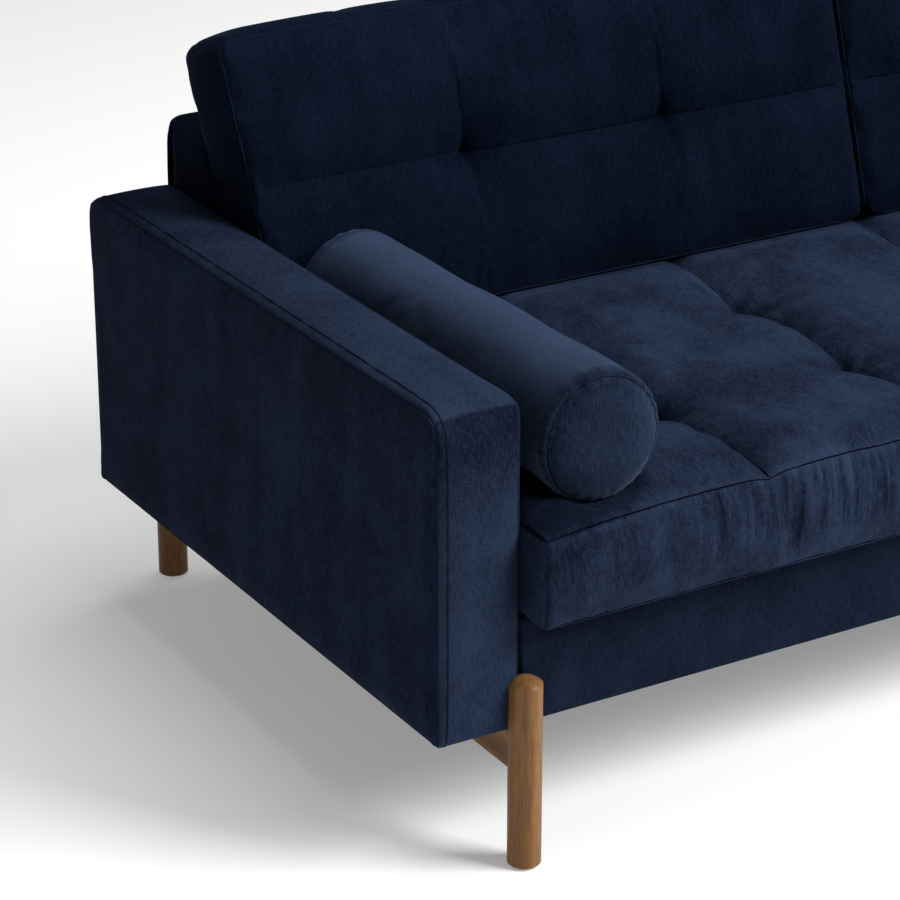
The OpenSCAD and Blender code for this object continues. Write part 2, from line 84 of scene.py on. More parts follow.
class Finish:
    def __init__(self, name):
        self.material = bpy.data.materials.new(name)
        self.material.use_nodes = True
        self.nodes = self.material.node_tree.nodes
        self.links = self.material.node_tree.links
        self.shader = self.nodes["Principled BSDF"]

    def feed(self, slot, value):
        if value is None:
            return
        if isinstance(value, Wire):
            self.links.new(value.socket, slot)
        else:
            slot.default_value = value

    def make(self, kind, settings=None, inputs=None):
        node = self.nodes.new(kind)
        for key, value in (settings or {}).items():
            if key == "stops":
                ramp = node.color_ramp
                ramp.elements[0].position, ramp.elements[0].color = value[0]
                ramp.elements[1].position, ramp.elements[1].color = value[-1]
                for position, colour in value[1:-1]:
                    ramp.elements.new(position).color = colour
            else:
                setattr(node, key, value)
        for key, value in (inputs or {}).items():
            self.feed(node.inputs[key], value)
        return node

    def wire(self, kind, settings=None, inputs=None, output=0):
        return Wire(self, self.make(kind, settings, inputs).outputs[output])

    def noise(self, vector, scale, detail=2.0, rough=0.5):
        return self.wire("ShaderNodeTexNoise", {}, {"Vector": vector, "Scale": scale, "Detail": detail,
                                                    "Roughness": rough})

    def stretch(self, vector, amounts):
        return self.wire("ShaderNodeVectorMath", {"operation": "MULTIPLY"}, {0: vector, 1: amounts})

    def blend(self, amount, dark, light):
        node = self.make("ShaderNodeMix", {"data_type": "RGBA"})
        self.feed(node.inputs["Factor"], amount)
        self.feed(node.inputs[6], dark)
        self.feed(node.inputs[7], light)
        return Wire(self, node.outputs[2])

    def bump(self, height, strength, distance):
        self.feed(self.shader.inputs["Normal"], self.wire(
            "ShaderNodeBump", {}, {"Height": height, "Strength": strength, "Distance": distance}))

    def set(self, values):
        for key, value in values.items():
            self.feed(self.shader.inputs[key], value)


# How fine the cloth is: noise scales along and across the weave, how deep it stands, and how strongly the
# fine folds are painted: painted shade in their hollows and painted light on their crests
pile = {"slub": (430, 78, 1), "cross": (150, 560, 1), "fibre": 900, "brushed": 8.5, "streak": (26, 4, 1),
        "fold": (88, 6.5, 1), "foldShade": 2.0, "foldHeight": 4, "strength": 0.55, "depth": 0.0009,
        "rough": 0.9, "shine": 0.015}


def clothFinish(name, dark, light, sheen, patch):
    finish = Finish(name)
    weave = finish.wire("ShaderNodeUVMap", {"uv_map": "weave"})
    place = finish.wire("ShaderNodeTexCoord", {}, {}, 3)
    slub = finish.noise(finish.stretch(weave, pile["slub"]), 1, 3, 0.65)  # long yarns, down the cloth
    cross = finish.noise(finish.stretch(weave, pile["cross"]), 1, 2, 0.6)  # shorter yarns across it
    fibre = finish.noise(weave, pile["fibre"], 2, 0.7)
    brushed = finish.noise(place, pile["brushed"], 5, 0.68)  # where the nap lies another way
    streak = finish.noise(finish.stretch(weave, pile["streak"]), 1, 3, 0.6)
    tone = (slub - 0.5) * 1.5 + (cross - 0.5) * 0.9 + (fibre - 0.5) * 1.3
    # Painted light and shade, read from each point of the piece
    nap = finish.wire("ShaderNodeAttribute", {"attribute_name": "nap"}, {}, 2)
    tuck = finish.wire("ShaderNodeAttribute", {"attribute_name": "tuck"}, {}, 2)
    fold = (finish.noise(finish.stretch(weave, pile["fold"]), 1, 2, 0.5) - 0.5) * tuck
    tone = tone + (brushed - 0.5) * patch + (streak - 0.5) * (0.5 * patch)
    # The colour takes painted light and shade from each point, and painted shade and light from the fine
    # folds
    tone = tone + nap + fold * pile["foldShade"] + 0.5
    finish.set({"Base Color": finish.blend(tone, dark, light), "Roughness": pile["rough"],
                "Sheen Weight": sheen["weight"], "Sheen Roughness": sheen["rough"],
                "Sheen Tint": sheen["tint"], "Specular IOR Level": pile["shine"]})
    height = slub * 0.5 + cross * 0.3 + fibre * 0.4 + fold * pile["foldHeight"]
    finish.bump(height, pile["strength"], pile["depth"])
    return finish.material


def woodFinish(name, along, stops, gloss):
    finish = Finish(name)
    place = finish.wire("ShaderNodeTexCoord", {}, {}, 3)
    fine, long = 38, 2.2
    amounts = (fine, long, fine) if along == "y" else (fine, fine, long)
    warp = finish.noise(finish.stretch(place, tuple(a * 0.3 for a in amounts)), 1, 2, 0.5)
    grain = finish.noise(finish.stretch(place, amounts), 1, 5, 0.62)
    pores = finish.noise(finish.stretch(place, tuple(a * 16 for a in amounts)), 1, 2, 0.5)
    figure = grain * 0.7 + warp * 0.3 + (pores - 0.5) * 0.28
    ramp = finish.make("ShaderNodeValToRGB", {"stops": stops}, {"Fac": figure})
    finish.set({"Base Color": Wire(finish, ramp.outputs[0]), "Roughness": gloss + (pores - 0.5) * 0.16,
                "Coat Weight": 0.08, "Coat Roughness": 0.2, "Specular IOR Level": 0.1})
    finish.bump(pores, 0.14, 0.0004)
    return finish.material


def plainFinish(name, dark, light, scale, rough, metal=0.0, bump=0.2, shine=0.5):
    finish = Finish(name)
    place = finish.wire("ShaderNodeTexCoord", {}, {}, 3)
    mottle = finish.noise(place, scale, 4, 0.6)
    finish.set({"Base Color": finish.blend(mottle, dark, light), "Roughness": rough + (mottle - 0.5) * 0.2,
                "Metallic": metal, "Specular IOR Level": shine})
    finish.bump(mottle, bump, 0.0008)
    return finish.material


navy, navyLight = (0.0030, 0.0052, 0.0130, 1), (0.0185, 0.0285, 0.0575, 1)
sheens = {"soft": {"weight": 0.06, "rough": 0.4, "tint": (0.34, 0.5, 0.9, 1)},
          "back": {"weight": 0.03, "rough": 0.4, "tint": (0.3, 0.48, 0.9, 1)},
          "bolster": {"weight": 0.22, "rough": 0.45, "tint": (0.36, 0.52, 0.9, 1)}}
cloths = {
    "velvet": clothFinish("navyVelvet", navy, navyLight, sheens["soft"], 1.7),
    "velvetArm": clothFinish("navyVelvetArm", navy, navyLight, sheens["soft"], 1.15),
    # A darker, less shiny copy of the navy velvet for the back cushions, back wrap and back panel: painted
    # shade
    "shadedVelvetBack": clothFinish("navyVelvetShadedBack", (0.0007, 0.0020, 0.0062, 1), (0.0046, 0.0088, 0.0205, 1),
                              sheens["back"], 1.1),
    "velvetBolster": clothFinish("navyVelvetBolster", navy, (0.0165, 0.0255, 0.0515, 1),
                                 sheens["bolster"], 1.5),
    # A darker copy of the navy velvet for the front band: painted shade from the seat's overhang
    "shadedVelvetBand": clothFinish("navyVelvetShadedBand", (0.0022, 0.0038, 0.0094, 1), (0.0090, 0.0142, 0.0305, 1),
                              sheens["soft"], 1.4),
    "thread": plainFinish("navyThread", (0.0035, 0.0055, 0.0120, 1), (0.0080, 0.0125, 0.0260, 1), 1800, 0.95,
                          shine=0.02),
    # A near-black cord: painted shadow, laid along seams, creases and sewn lines where there is only shade
    "shadowThread": plainFinish("paintedShadowThread", (0.0004, 0.0008, 0.0020, 1), (0.0012, 0.0020, 0.0046, 1),
                                1800, 0.95, shine=0.01),
    "lining": clothFinish("blackLining", (0.006, 0.006, 0.007, 1), (0.02, 0.02, 0.022, 1),
                          {"weight": 0.05, "rough": 0.5, "tint": (1, 1, 1, 1)}, 0.3),
    "deck": clothFinish("deckCloth", (0.012, 0.014, 0.020, 1), (0.030, 0.034, 0.044, 1),
                        {"weight": 0.15, "rough": 0.5, "tint": (1, 1, 1, 1)}, 0.5),
}
walnutStops = [(0.26, (0.066, 0.025, 0.008, 1)), (0.42, (0.142, 0.064, 0.021, 1)),
               (0.56, (0.210, 0.104, 0.038, 1)), (0.76, (0.295, 0.158, 0.063, 1))]
woods = {
    "legs": woodFinish("walnutUpright", "z", walnutStops, 0.4),
    "rails": woodFinish("walnutAlong", "y", walnutStops, 0.42),
    "frame": woodFinish("frameTimber", "y", [(0.3, (0.42, 0.27, 0.14, 1)), (0.7, (0.62, 0.45, 0.27, 1))],
                        0.65),
}
others = {
    "steel": plainFinish("springSteel", (0.30, 0.31, 0.33, 1), (0.46, 0.47, 0.49, 1), 400, 0.38, 1.0, 0.1),
    "hardboard": plainFinish("hardboardPanel", (0.12, 0.065, 0.03, 1), (0.2, 0.12, 0.06, 1), 500, 0.75),
    "foam": plainFinish("creamFoam", (0.58, 0.52, 0.36, 1), (0.74, 0.68, 0.50, 1), 900, 0.95, 0.0, 0.5),
    "webbing": plainFinish("juteWebbing", (0.16, 0.12, 0.07, 1), (0.30, 0.24, 0.15, 1), 700, 0.9, 0.0, 0.5),
    "glide": plainFinish("glideNylon", (0.05, 0.035, 0.025, 1), (0.09, 0.065, 0.05, 1), 250, 0.45),
    "whiteThread": plainFinish("tieThread", (0.5, 0.5, 0.48, 1), (0.7, 0.7, 0.68, 1), 1500, 0.8),
}
print("finishes made")


closest = 0.0022  # no two rows of points lie nearer than this, apart from marked ones


# Where the rows of points of a piece lie: even steps, close ones at both edges, and marked places
def rows(low, high, step, edge=(), places=(), near=()):
    even = np.linspace(low, high, max(2, round((high - low) / step) + 1))
    close = [low + e for e in edge] + [high - e for e in edge]
    found = sorted([low, high] + [p + n for p in places for n in near] + list(places))
    for value in sorted(close) + list(even):
        if min(abs(value - f) for f in found) > closest and low < value < high:
            found = sorted(found + [value])
    return np.array(found)


# paint holds a number for each point: nap is painted light and shade, how much lighter or darker
# the colour is made where light falls or shade lies, and tuck is how strongly the cloth is drawn into fine
# upright folds
def newPiece(name, points, faces, weave, colour, paint=None):
    mesh = bpy.data.meshes.new(name)
    mesh.from_pydata(np.asarray(points, float).tolist(), [], [list(f) for f in faces])
    layer = mesh.uv_layers.new(name="weave")
    layer.data.foreach_set("uv", np.asarray(weave, np.float32).ravel())
    for label, values in (paint or {}).items():
        layer = mesh.attributes.new(label, "FLOAT", "POINT")
        layer.data.foreach_set("value", np.asarray(values, np.float32))
    mesh.polygons.foreach_set("use_smooth", [True] * len(mesh.polygons))
    work = bmesh.new()
    work.from_mesh(mesh)
    bmesh.ops.recalc_face_normals(work, faces=work.faces)
    work.to_mesh(mesh)
    work.free()
    mesh.materials.append(cloths[colour])
    piece = bpy.data.objects.new(name, mesh)
    scene.collection.objects.link(piece)
    return piece


# Turns the faces of a closed piece the other way when they look inwards, as they do on a mirrored one
def outward(points, faces, weave):
    p = np.asarray(points, float)
    f = np.asarray(faces)
    corner = [p[f[:, n]] for n in range(3)]
    if np.einsum("ij,ij->i", corner[0], np.cross(corner[1], corner[2])).sum() < 0:
        return f[:, ::-1], np.asarray(weave)[:, ::-1]
    return f, np.asarray(weave)


# The skin of a block: its raw points, faces, cloth coordinates and point numbers. On the faces of the turned
# axes the weave runs the other way
def blockSkin(*axes, turned=()):
    counts = [len(row) for row in axes]
    grid = np.meshgrid(*[np.arange(c) for c in counts], indexing="ij")
    onSkin = np.any([(n == 0) | (n == c - 1) for n, c in zip(grid, counts)], 0)
    ids = np.full(counts, -1)
    ids[onSkin] = np.arange(onSkin.sum())
    raw = np.stack([row[n[onSkin]] for row, n in zip(axes, grid)], 1)
    faces, weave = [], []
    for axis in range(3):
        a, b = [x for x in range(3) if x != axis]
        for end in (0, -1):
            layer = ids.take(end, axis)
            quad = np.stack([layer[:-1, :-1], layer[1:, :-1], layer[1:, 1:], layer[:-1, 1:]], -1)
            quad = quad.reshape(-1, 4)
            if (end == 0) != (axis == 1):
                quad = quad[:, ::-1]
            faces.append(quad)
            shift = axis * 1.7 + (end == 0) * 0.63
            across, along = (b, a) if axis in turned else (a, b)
            weave.append(np.stack([raw[quad][:, :, across] + shift, raw[quad][:, :, along] + shift], -1))
    return raw, np.concatenate(faces), np.concatenate(weave), ids


# Which coordinates of each point are at a block's limits
def atLimits(points, ends):
    return (points < ends[0] + 1e-6) | (points > ends[1] - 1e-6)


# Rounds a block's edges, and draws in those along the two faces of one axis, where its panels are sewn
def softBox(points, ends, radius, sewn=None, draw=0.0026):
    low, high = ends
    inner = np.clip(points, low + radius, high - radius)
    away = points - inner
    soft = inner + away * (radius / np.maximum(np.linalg.norm(away, axis=1, keepdims=True), 1e-9))
    if sewn is None:
        return soft
    met = atLimits(points, ends)
    seam = met[:, sewn] & (met.sum(1) >= 2)
    depth = np.linalg.norm(away[seam], axis=1, keepdims=True)
    soft[seam] -= away[seam] / depth * draw
    return soft


# Rounds the four corners of a rectangle in two of the coordinates
def roundCorners(a, b, lowA, highA, lowB, highB, radii):
    a, b = a.copy(), b.copy()
    for endA, endB, radius in ((0, 0, radii[0]), (1, 0, radii[1]), (1, 1, radii[2]), (0, 1, radii[3])):
        if radius <= 0:
            continue
        signA, signB = (-1, 1)[endA], (-1, 1)[endB]
        centreA = (lowA, highA)[endA] - signA * radius
        centreB = (lowB, highB)[endB] - signB * radius
        s = (a - centreA) * signA / radius
        t = (b - centreB) * signB / radius
        zone = (s > 0) & (t > 0)
        s, t = np.minimum(s[zone], 1), np.minimum(t[zone], 1)
        a[zone] = centreA + signA * radius * s * np.sqrt(1 - t * t / 2)
        b[zone] = centreB + signB * radius * t * np.sqrt(1 - s * s / 2)
    return a, b


# Smooth uneven waves over two coordinates, the same on each run
def ripples(a, b, seed, wave, amount, stretch=1.0):
    draw = np.random.default_rng(seed)
    total = np.zeros(len(a))
    for _ in range(7):
        angle, phase = draw.uniform(0, math.tau, 2)
        length = wave * draw.uniform(0.7, 1.6)
        total += np.sin((a * math.cos(angle) + b * math.sin(angle) / stretch) * math.tau / length + phase)
    return total * (amount / 2.6)


def bell(distance, width):
    return np.exp(-(distance / width) ** 2)


def plump(share, power=3.0):
    return 1 - np.abs(2 * np.clip(share, 0, 1) - 1) ** power


# A thin cord of cloth or thread along a line of points
def tube(name, points, radius, colour, body, closed=True, sides=6):
    p = np.asarray(points, float)
    ahead = np.roll(p, -1, 0) - np.roll(p, 1, 0)
    if not closed:
        ahead[0], ahead[-1] = p[1] - p[0], p[-1] - p[-2]
    ahead /= np.maximum(np.linalg.norm(ahead, axis=1, keepdims=True), 1e-9)
    side = np.cross(ahead, (0.13, 0.31, 0.94))
    flat = np.linalg.norm(side, axis=1) < 0.3
    side[flat] = np.cross(ahead[flat], (0.9, 0.4, 0.1))
    side /= np.linalg.norm(side, axis=1, keepdims=True)
    other = np.cross(ahead, side)
    turn = np.arange(sides) * math.tau / sides
    around = side[:, None] * np.cos(turn)[:, None] + other[:, None] * np.sin(turn)[:, None]
    ring = p[:, None] + radius * around
    count = len(p)
    along = np.concatenate([[0], np.cumsum(np.linalg.norm(np.diff(p, axis=0), axis=1))])
    faces, weave = [], []
    for i in range(count if closed else count - 1):
        n = (i + 1) % count
        for s in range(sides):
            t = (s + 1) % sides
            faces.append((i * sides + s, i * sides + t, n * sides + t, n * sides + s))
            reach = along[i] + 0.008
            weave.append([(s * 0.001, along[i]), (s * 0.001 + 0.001, along[i]),
                          (s * 0.001 + 0.001, reach), (s * 0.001, reach)])
    cord = newPiece(name, ring.reshape(-1, 3), faces, np.array(weave), colour)
    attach(cord, body)
    return cord


# A right-hand piece as it is made, and its mirror image on the left
def bothSides(points, faces, weave):
    for name, way in (("left", -1), ("right", 1)):
        placed = points * np.array([way, 1, 1])
        yield name, placed, *outward(placed, faces, weave)


def dress(piece, body, covers):
    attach(piece, body)
    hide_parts(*covers)


waiting = []
puffSteps = 20
puff = {"quality": 4, "mass": 0.25, "tension_stiffness": 12, "compression_stiffness": 12,
        "shear_stiffness": 5, "bending_stiffness": 0.4, "use_pressure": True, "uniform_pressure_force": 4,
        "vertex_group_mass": "held"}


# A soft piece waits with its held points, its largest move, its growth and a function that keeps it clear of
# its neighbours
def puffLater(piece, held, cap, grow, keepIn):
    waiting.append({"piece": piece, "held": held, "cap": cap, "grow": grow, "keepIn": keepIn})


def pointsOf(mesh):
    found = np.zeros(len(mesh.vertices) * 3)
    mesh.vertices.foreach_get("co", found)
    return found.reshape(-1, 3)


def puffAll():
    for item in waiting:
        piece = item["piece"]
        group = piece.vertex_groups.new(name="held")
        for level in np.unique(np.round(item["held"], 1)):
            group.add(np.nonzero(np.round(item["held"], 1) == level)[0].tolist(), float(level), "REPLACE")
        cloth = piece.modifiers.new("puff", "CLOTH")
        for key, value in puff.items():
            setattr(cloth.settings, key, value)
        cloth.settings.shrink_min = -item["grow"]
        cloth.settings.effector_weights.gravity = 0
        cloth.collision_settings.use_collision = False
        cloth.point_cache.frame_start, cloth.point_cache.frame_end = 1, puffSteps
    for step in range(1, puffSteps + 1):
        scene.frame_set(step)
    graph = bpy.context.evaluated_depsgraph_get()
    settled = {item["piece"].name: pointsOf(item["piece"].evaluated_get(graph).data) for item in waiting}
    for item in waiting:
        piece = item["piece"]
        piece.modifiers.remove(piece.modifiers["puff"])
        piece.vertex_groups.clear()
        start = pointsOf(piece.data)
        move = settled[piece.name] - start
        reach = np.linalg.norm(move, axis=1, keepdims=True)
        move *= np.minimum(1, item["cap"] / np.maximum(reach, 1e-9))
        piece.data.vertices.foreach_set("co", item["keepIn"](start + move).ravel())
        piece.data.update()
        print("puffed", piece.name, "largest move", round(float(reach.max()), 4))
    scene.frame_set(1)


edgeRows = (0.0022, 0.0046, 0.008, 0.013, 0.021)  # how far the close rows lie in from an edge
inWall = 0.9266  # half the clear width between the arms

# Depths are measured back from the front of the arms, and widths from the middle of the sofa
seat = {"step": 0.0115, "front": 0.042, "back": 0.686, "bottom": 0.3124, "seam": 0.436, "top": 0.4535,
        "columns": (-0.618, -0.322, 0.0, 0.322, 0.618), "tuftRows": (0.190, 0.420), "edge": 0.007,
        "half": 0.9258, "corner": 0.008, "rearCorner": 0.03, "taper": 0.0012, "tuft": 0.031, "bow": 0.008,
        "crease": 0.0130, "bulge": 0.008, "pulls": ((-0.50, 0.20), (0.46, 0.24))}
seatEnds = (np.array([-seat["half"], -seat["front"], seat["bottom"]]),
            np.array([seat["half"], seat["back"], seat["seam"]]))
bolster = {"x": 0.821, "z": 0.514, "radius": 0.078, "front": -0.008, "length": 0.578, "seamAt": 0.0735,
           "slant": 0.011, "around": 112, "flat": 0.4525, "droop": 0.0165, "gathers": 27}


# Where a bolster's underside lies on the seat: its front end sinks in
def bolsterRest(d):
    ease = np.clip((np.asarray(d, float) - 0.012) / 0.095, 0, 1)
    return bolster["flat"] - bolster["droop"] * (1 - ease * ease * (3 - 2 * ease))


def pulled(x, even, left, right):
    (leftAt, leftWide), (rightAt, rightWide) = seat["pulls"]
    return even + left * bell(x - leftAt, leftWide) + right * bell(x - rightAt, rightWide)


# Upright tucks in the front boxing, where the cover was pulled tight
def seatStreaks(x, z):
    return ripples(x + 0.12 * (z - 0.37), z, 21, 0.030, 1.0, 8.0) * pulled(x, 0.22, 0.9, 0.55)


def seatPlace(raw):
    half = seat["half"]
    low, high = seatEnds
    p = softBox(raw, seatEnds, seat["edge"], 2)
    x, d = roundCorners(p[:, 0], p[:, 1], low[0], high[0], low[1], high[1],
                        (seat["corner"], seat["corner"], seat["rearCorner"], seat["rearCorner"]))
    x = x * (1 - seat["taper"] * np.clip(1 - (d + seat["front"]) / 0.16, 0, 1) ** 1.5)
    columnGap = np.min([np.abs(x - c) for c in seat["columns"]], 0)
    tuftGap, tuftTurn = np.full(len(x), 9.0), np.zeros(len(x))
    for c in seat["columns"]:
        for r in seat["tuftRows"]:
            gap = np.hypot(x - c, d - r)
            nearer = gap < tuftGap
            tuftGap[nearer] = gap[nearer]
            tuftTurn[nearer] = np.arctan2(d - r, x - c)[nearer] + c * 9 + r * 5
    share = (p[:, 2] - low[2]) / (high[2] - low[2])
    edgeHeight = 0.427 + 0.017 * (1 - np.abs(x / half) ** 4) - 0.0045 * bell(columnGap, 0.022)
    edgeHeight = edgeHeight - 0.0010 + ripples(x, d, 3, 0.19, 0.0009)
    fromEdge = [np.maximum(v, 0) for v in (x + half, half - x, d + seat["front"], seat["back"] - d)]
    rise = np.prod([1 - np.exp(-(v / 0.036) ** 0.85) for v in fromEdge], 0)
    crease = seat["crease"] * (0.70 + 0.45 * np.max([bell(d - r, 0.11) for r in seat["tuftRows"]], 0))
    crease = crease * np.exp(-columnGap / 0.0075) + 0.0085 * np.exp(-columnGap / 0.05)
    dip = seat["tuft"] * np.exp(-tuftGap / 0.020) + 0.011 * bell(tuftGap, 0.085)
    pucker = 0.0026 * np.cos(tuftTurn * 6) * bell(tuftGap - 0.032, 0.020)
    waves = ripples(x, d, 11, 0.16, 0.0016) + ripples(x, d, 12, 0.055, 0.0004)
    full = seat["top"] + 0.0060 - crease - dip + pucker + waves
    nearest = np.array(seat["columns"])[np.argmin(np.abs(x[:, None] - np.array(seat["columns"])), 1)]
    stops = (-seat["front"],) + seat["tuftRows"] + (seat["back"],)
    bow = sum(np.where((d > a) & (d < b), np.sin(math.pi * (d - a) / (b - a)), 0)
              for a, b in zip(stops, stops[1:]))
    x = x - np.sign(nearest) * seat["bow"] * bow * bell(columnGap, 0.07)  # the creases bow towards the middle
    onTop = raw[:, 2] >= seat["seam"] - 1e-6
    z = low[2] + share * (edgeHeight - low[2])
    z = np.where(onTop, z + rise * (full - edgeHeight), z)
    middle = np.clip(4 * share * (1 - share), 0, 1)
    frontFace = np.clip(1 - (d + seat["front"]) / 0.03, 0, 1)
    wrinkle = seatStreaks(x, z) * 0.0019 + ripples(x, z, 22, 0.09, 0.0013, 3.0)
    d = d - frontFace * (seat["bulge"] * middle ** 0.7 + wrinkle * middle ** 0.5)
    return np.stack([x, frontY + d, z], 1)


def seatKeep(p):
    p = p.copy()
    p[:, 0] = np.clip(p[:, 0], -inWall, inWall)
    p[:, 2] = np.maximum(p[:, 2], seat["bottom"])
    d = p[:, 1] - frontY
    ceiling = np.where(d > 0.565, 0.4519, 0.461)  # under the back cushions
    gap = np.abs(np.abs(p[:, 0]) - bolster["x"] - bolster["slant"] * d / bolster["length"])
    hollow = bolster["z"] - 0.0035 - np.sqrt(np.maximum(bolster["radius"] ** 2 - gap ** 2, 0))
    hollow = np.maximum(hollow, bolsterRest(d)) - 0.0008 + np.maximum(0, -0.014 - d) * 0.2
    underBolster = gap < 0.8 * bolster["radius"]
    ceiling = np.where(underBolster, np.minimum(hollow, ceiling), ceiling)
    p[:, 2] = np.minimum(p[:, 2], ceiling)
    p[:, 1] = np.minimum(p[:, 1], frontY + seat["back"])
    return p


near = (-0.014, -0.007, -0.0028, 0.0028, 0.007, 0.014)
seatRows = (rows(-seat["half"], seat["half"], seat["step"], edgeRows, seat["columns"], near),
            rows(-seat["front"], seat["back"], seat["step"], edgeRows, seat["tuftRows"], near),
            rows(seat["bottom"], seat["seam"], 0.011, edgeRows[:4]))
raw, faces, weave, ids = blockSkin(*seatRows)
seatPoints = seatKeep(seatPlace(raw))
faces, weave = outward(seatPoints, faces, weave)
tuftNear = np.min([np.hypot(raw[:, 0] - c, raw[:, 1] - r)
                   for c in seat["columns"] for r in seat["tuftRows"]], 0)
columnNear = np.min([np.abs(raw[:, 0] - c) for c in seat["columns"]], 0)
atTop = raw[:, 2] > seat["seam"] - 0.001
atFront = raw[:, 1] < -seat["front"] + 0.001
# Painted shade on the seat top: darker round the tufts, in the column creases and in the front corners by the
# arms
inCorner = bell(np.abs(raw[:, 0]) - 0.88, 0.10) * np.clip(1 - raw[:, 1] / 0.13, 0, 1)
seatPaintedLight = atTop * (-0.02 - 0.40 * np.exp(-tuftNear / 0.030) - 0.30 * np.exp(-columnNear / 0.008)
                   - 0.55 * inCorner)
streaks = seatStreaks(seatPoints[:, 0], seatPoints[:, 2])
belowSeam = np.clip((seatPoints[:, 2] - 0.33) / 0.05, 0, 1)
# Painted light and shade on the front boxing: lighter on the crests of its upright tucks and darker between
# them, darker overall with a lighter patch left of the middle
seatPaintedLight = seatPaintedLight + atFront * (0.14 * np.clip(streaks, -0.7, 1) * belowSeam - 0.15
                               + 0.15 * bell(raw[:, 0] + 0.4, 0.3))
# A painted highlight along the top front seam
seatPaintedLight = seatPaintedLight + 0.30 * bell(raw[:, 1] + seat["front"], 0.008) * bell(raw[:, 2] - seat["seam"], 0.008)
seatTuck = atFront * belowSeam * pulled(seatPoints[:, 0], 0.25, 1.0, 0.6)
seatPiece = newPiece("seatCushion", seatPoints, faces, weave, "velvet",
                     {"nap": seatPaintedLight, "tuck": seatTuck})
onEdge = atLimits(raw, seatEnds).sum(1) >= 2
held = np.where(onEdge | (tuftNear < 0.010) | (raw[:, 2] < seat["bottom"] + 0.001), 1.0, 0.0)
held = np.maximum(held, np.where(columnNear < 0.001, 1.0, 0.0) * atTop)
puffLater(seatPiece, held, 0.006, 0.012, seatKeep)
dress(seatPiece, "seat_cushion", ["seat_cushion_cover", "seat_cushion_core", "seat_cushion_ties"])


# The points of a lattice round one level of its walls
def loopOf(ids, level):
    layer = ids[:, :, level]
    return np.concatenate([layer[:, 0], layer[-1, 1:], layer[-2::-1, -1], layer[0, -2:0:-1]])


# Near-black cords along the seat's top and bottom seams: painted shadow under the welts
for name, level in (("seatSeamTop", -1), ("seatSeamBottom", 0)):
    tube(name, seatPoints[loopOf(ids, level)], 0.0009, "shadowThread", "seat_cushion")
for sideX, label in ((0, "left"), (-1, "right")):
    tube("seatCorner_" + label, seatPoints[ids[sideX, 0]], 0.0007, "thread", "seat_cushion", False)
seatCreases = [ids[int(np.argmin(np.abs(seatRows[0] - c))), 1:int(np.argmin(np.abs(seatRows[1] - 0.56))), -1]
               for c in seat["columns"]]
print("seat cushion made")

back = {"width": 0.9254, "left": 0.0006, "thick": 0.106, "lean": math.radians(18), "crown": 0.018,
        "edge": 0.008, "foot": 0.582, "footHeight": 0.4525, "top": 0.822, "tuft": 0.019, "line": 0.0045}
back["height"] = (back["top"] - back["footHeight"]) / math.cos(back["lean"])
back["tufts"] = tuple(back["width"] * t for t in (1 / 3, 2 / 3))
back["middle"] = back["height"] / 2
backEnds = (np.zeros(3), np.array([back["width"], back["height"], back["thick"]]))


def backPlace(raw):
    width, height, thick = back["width"], back["height"], back["thick"]
    p = softBox(raw, backEnds, back["edge"], 2)
    u, v = roundCorners(p[:, 0], p[:, 1], 0, width, 0, height, (0.030, 0.030, 0.026, 0.026))
    w = p[:, 2]
    front = np.clip(1 - w / thick, 0, 1)
    acrossShare, upShare = u / width, v / height
    lift = plump(acrossShare, 3.5) * plump(upShare, 2.6)
    fromLine = v - back["middle"]
    groove = back["line"] * np.exp(-np.abs(fromLine) / 0.0040) + 0.0022 * bell(fromLine, 0.035)
    groove = groove * plump(acrossShare, 9)
    tuftGap, tuftSide = np.full(len(u), 9.0), np.full(len(u), 9.0)
    for c in back["tufts"]:
        gap = np.hypot(u - c, fromLine)
        tuftSide = np.where(gap < tuftGap, u - c, tuftSide)
        tuftGap = np.minimum(tuftGap, gap)
    dip = back["tuft"] * np.exp(-tuftGap / 0.018) + 0.0050 * bell(tuftGap, 0.07)
    fold = 0.0085 * bell(tuftSide - 0.10 * fromLine, 0.006) * np.exp(-np.abs(fromLine - 0.016) / 0.026)
    pucker = 0.0014 * np.sin(tuftSide * 230) * bell(tuftGap - 0.03, 0.022)
    waves = ripples(u, v, 31, 0.23, 0.0024) + ripples(u, v, 32, 0.07, 0.0006)
    out = back["crown"] * lift - groove - dip - fold + pucker + waves * lift
    w = w - front ** 2 * out
    topShare = np.clip((upShare - 0.5) * 2, 0, 1) ** 3
    v = v + topShare * 0.007 * plump(acrossShare, 5) * plump(w / thick, 2)
    wall = np.abs(raw[:, 0] - width) < 1e-6
    pinch = 0.0050 * bell(fromLine, 0.009) + 0.0028 * bell(fromLine + 0.075, 0.012)
    u = u - wall * pinch * plump(w / thick, 4)
    outer = np.clip((acrossShare - 0.80) / 0.20, 0, 1) ** 1.5
    u = u + outer * (0.016 * upShare - 0.0035 * bell(fromLine, 0.07))  # the corner leans out over the arm
    u = u + outer * np.clip((v - 0.20) / 0.08, 0, 1) * 0.005 * plump(w / thick, 2)
    start = np.maximum(w, 0) * math.tan(back["lean"])
    v = start + v * (height - start) / height
    y = frontY + back["foot"] + v * math.sin(back["lean"]) + w * math.cos(back["lean"])
    z = back["footHeight"] + v * math.cos(back["lean"]) - w * math.sin(back["lean"])
    return np.stack([back["left"] + u, y, z], 1)


def backKeep(p):
    p = p.copy()
    size = np.abs(p[:, 0])
    limit = inWall + 0.024 * np.clip((p[:, 2] - 0.588) / 0.12, 0, 1)
    p[:, 0] = np.sign(p[:, 0]) * np.clip(size, 0.0004, limit)
    p[:, 2] = np.maximum(p[:, 2], 0.4524)
    rear = frontY + 0.690 + np.maximum(0, p[:, 2] - 0.430) * math.tan(back["lean"]) - 0.0012
    p[:, 1] = np.where(p[:, 2] < 0.680, np.minimum(p[:, 1], rear), p[:, 1])
    return p


